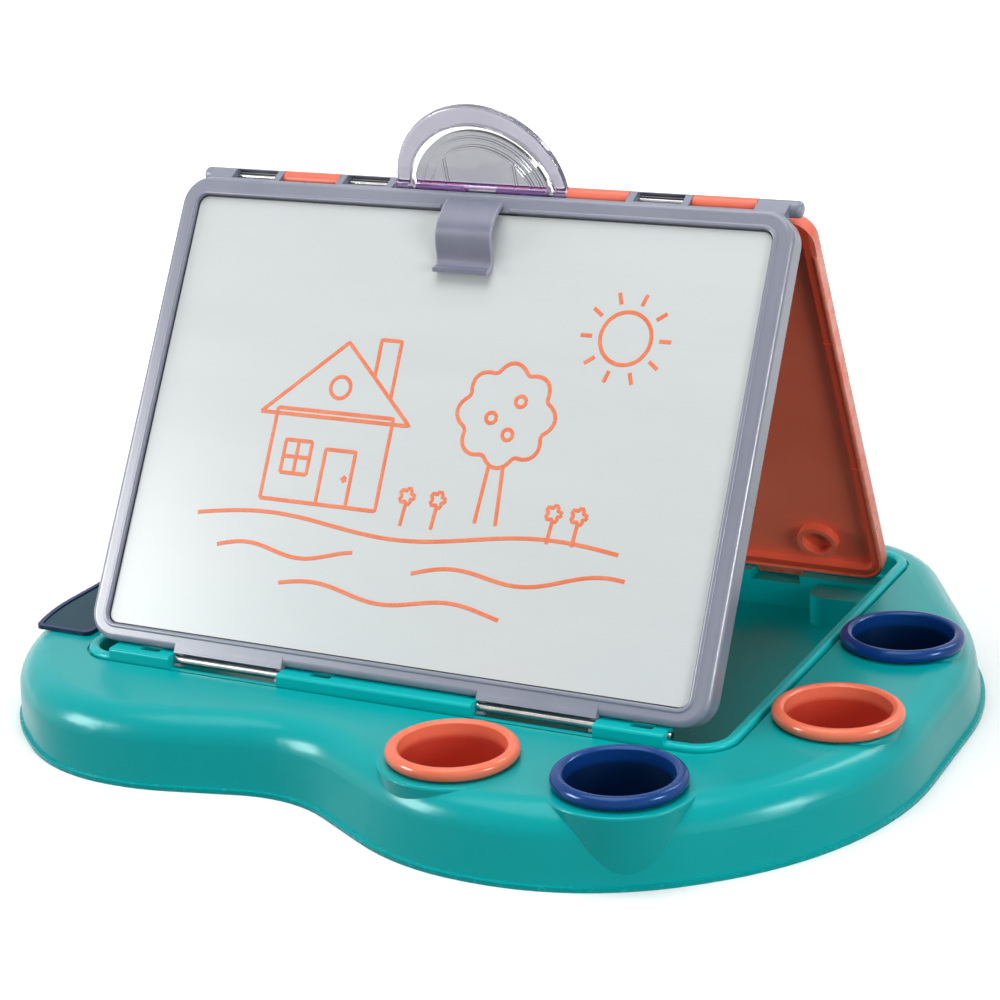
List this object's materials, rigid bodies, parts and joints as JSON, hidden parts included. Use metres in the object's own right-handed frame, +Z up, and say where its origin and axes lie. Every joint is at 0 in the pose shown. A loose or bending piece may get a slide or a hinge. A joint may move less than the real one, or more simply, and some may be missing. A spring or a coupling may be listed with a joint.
{
  "type": "table-top kids easel",
  "caption": "Table-top kids easel: framed dry-wipe board propped by a hinged rear board on a rounded base with a storage tray, lift-out cups, a lidded bin and a carry handle.",
  "frame": {"origin": "on the table under the middle of the base outline", "axes": "+Z up, +X to the right of someone drawing on the whiteboard, +Y from that person to the rear board"},
  "size_m": [0.5112, 0.445, 0.3201],
  "materials": {
    "base_teal": "glossy moulded plastic",
    "foot_rubber": "matt rubber",
    "steel": "drawn wire",
    "smoked_plastic": "smoked see-through plastic",
    "frame_grey": "satin moulded plastic",
    "panel_white": "smooth dry-wipe sheet",
    "coral": "satin moulded plastic",
    "chalk_black": "matt chalk surface",
    "handle_purple": "smoky see-through plastic",
    "flap_clear": "clear see-through plastic",
    "navy": "glossy moulded plastic"
  },
  "bodies": {
    "base": {"base_shell": "base_teal", "storage_tray": "base_teal", "rubber_feet": "foot_rubber", "front_hinge_rod": "steel", "lid_hinge_pins": "steel"},
    "bin_lid": {"side_bin_lid": "smoked_plastic"},
    "front_board": {"front_frame": "frame_grey", "whiteboard_panel": "panel_white", "front_back_cover": "frame_grey", "back_cover_screws": "steel", "ridge_rod": "steel"},
    "clip": {"paper_clip": "frame_grey"},
    "rear_board": {"rear_shell": "coral", "chalkboard_panel": "chalk_black"},
    "handle": {"carry_handle": "handle_purple"},
    "flap": {"handle_flap": "flap_clear"},
    "cup_body_front_left": {"cup_front_left": "coral"},
    "cup_body_front_right": {"cup_front_right": "navy"},
    "cup_body_side_front": {"cup_side_front": "coral"},
    "cup_body_side_rear": {"cup_side_rear": "navy"}
  },
  "joints": [
    {"name": "front_board_fold", "type": "hinge", "parent": "base", "child": "front_board", "pos_m": [-0.015, -0.1167, 0.04], "axis": [1, 0, 0], "range_deg": [0, 36]},
    {"name": "rear_board_fold", "type": "hinge", "parent": "front_board", "child": "rear_board", "pos_m": [-0.015, 0.03021, 0.27145], "axis": [1, 0, 0], "range_deg": [-54, 0]},
    {"name": "handle_swing", "type": "hinge", "parent": "front_board", "child": "handle", "pos_m": [-0.015, 0.03021, 0.27145], "axis": [1, 0, 0], "range_deg": [-95, 40]},
    {"name": "flap_swing", "type": "hinge", "parent": "front_board", "child": "flap", "pos_m": [-0.015, 0.03021, 0.27145], "axis": [1, 0, 0], "range_deg": [-95, 40]},
    {"name": "clip_open", "type": "hinge", "parent": "front_board", "child": "clip", "pos_m": [-0.013, 0.00962, 0.2696], "axis": [1, 0, 0], "range_deg": [-12, 0], "stiffness_Nm_per_rad": 0.3, "springref_deg": 5.73},
    {"name": "bin_lid_open", "type": "hinge", "parent": "base", "child": "bin_lid", "pos_m": [-0.2065, 0, 0.0403], "axis": [0, 1, 0], "range_deg": [0, 80]},
    {"name": "cup_front_left_lift", "type": "slide", "parent": "base", "child": "cup_body_front_left", "axis": [0, 0, 1], "range_m": [0, 0.055]},
    {"name": "cup_front_right_lift", "type": "slide", "parent": "base", "child": "cup_body_front_right", "axis": [0, 0, 1], "range_m": [0, 0.055]},
    {"name": "cup_side_front_lift", "type": "slide", "parent": "base", "child": "cup_body_side_front", "axis": [0, 0, 1], "range_m": [0, 0.055]},
    {"name": "cup_side_rear_lift", "type": "slide", "parent": "base", "child": "cup_body_side_rear", "axis": [0, 0, 1], "range_m": [0, 0.055]}
  ],
  "couplings": [
    {"joint": "rear_board_fold", "follows": "front_board_fold", "ratio": -1.5}
  ]
}
